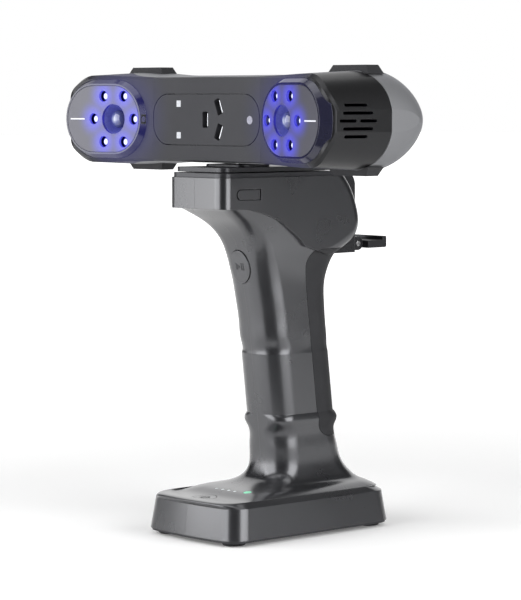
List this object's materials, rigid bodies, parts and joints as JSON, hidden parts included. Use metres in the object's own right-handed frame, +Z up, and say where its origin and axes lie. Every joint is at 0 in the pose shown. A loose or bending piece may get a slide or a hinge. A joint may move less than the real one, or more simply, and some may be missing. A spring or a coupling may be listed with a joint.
{
  "type": "desktop 3d scanner",
  "caption": "Wide scanner head with a stereo camera face at each end and a slit window between them, quick-released onto a pistol grip with a flared standing base and a folding phone rest.",
  "frame": {"origin": "on the table under the centre of the whole outline", "axes": "+Z up, the lenses look along -Y, +X is on the left of someone who stands behind the scanner and looks along the lenses"},
  "size_m": [0.2164, 0.1368, 0.2545],
  "materials": {
    "casing_plastic": "satin graphite moulded plastic",
    "head_shell": "satin metallic grey moulded plastic",
    "head_front": "fine matte dark grey moulded plastic",
    "bezel": "glossy dark grey plastic",
    "window": "smooth infra-red dark plastic",
    "mark": "pale diffusing glass",
    "lens": "coated optical glass",
    "lamp": "clear lamp lens",
    "black_metal": "black coated metal",
    "frame_metal": "machined aluminium",
    "board": "green circuit board",
    "switch": "black moulded plastic",
    "cell": "wrapped cells",
    "rubber": "moulded rubber",
    "steel": "plain steel"
  },
  "bodies": {
    "stand": {"base_board": "board", "base_screws": "steel", "battery_cells": "cell", "battery_cradle": "switch", "bottom_plate": "casing_plastic", "centre_window": "window", "feet": "rubber", "front_housing": "head_front", "gauge_lights": "lamp", "grip_pad": "rubber", "handle_board": "board", "handle_screws": "steel", "holder_plate": "black_metal", "holder_screws": "steel", "laser_modules": "black_metal", "ledge_pin": "frame_metal", "left_bezel": "bezel", "left_bottom_bumper": "rubber", "left_camera_board": "board", "left_face_plate": "window", "left_handle_shell": "casing_plastic", "left_led_board": "board", "left_leds": "lamp", "left_lens": "lens", "left_lens_barrel": "black_metal", "left_top_bumper": "rubber", "main_board": "board", "mount_screw": "steel", "optics_frame": "frame_metal", "pattern_windows": "mark", "power_switch": "switch", "quick_release_plate": "casing_plastic", "range_sensor": "mark", "rear_shell": "head_shell", "receiver_plate": "casing_plastic", "release_pin": "frame_metal", "right_bezel": "bezel", "right_bottom_bumper": "rubber", "right_camera_board": "board", "right_face_plate": "window", "right_handle_shell": "casing_plastic", "right_led_board": "board", "right_leds": "lamp", "right_lens": "lens", "right_lens_barrel": "black_metal", "right_top_bumper": "rubber", "scan_board": "board", "scan_switch": "switch", "slit_lenses": "lens", "status_light": "lamp", "usb_port": "steel"},
    "scan_button": {"scan_button": "casing_plastic"},
    "release_tab": {"release_tab": "casing_plastic"},
    "power_button": {"power_button": "casing_plastic"},
    "phone_ledge": {"phone_ledge": "black_metal"}
  },
  "joints": [
    {"name": "scan_press", "type": "slide", "parent": "stand", "child": "scan_button", "axis": [0, 0.9816, 0.1908], "range_m": [0, 0.0015], "stiffness_N_per_m": 900, "springref_m": -0.0006},
    {"name": "release_press", "type": "hinge", "parent": "stand", "child": "release_tab", "pos_m": [0.0176, -0.0335, 0.186], "axis": [0, 0, -1], "range_deg": [0, 8], "stiffness_Nm_per_rad": 0.12, "springref_deg": -5.73},
    {"name": "power_press", "type": "slide", "parent": "stand", "child": "power_button", "axis": [0, 0, -1], "range_m": [0, 0.0008], "stiffness_N_per_m": 900, "springref_m": -0.0006},
    {"name": "ledge_fold", "type": "hinge", "parent": "stand", "child": "phone_ledge", "pos_m": [0, 0.05, 0.1562], "axis": [1, 0, 0], "range_deg": [0, 90]}
  ]
}
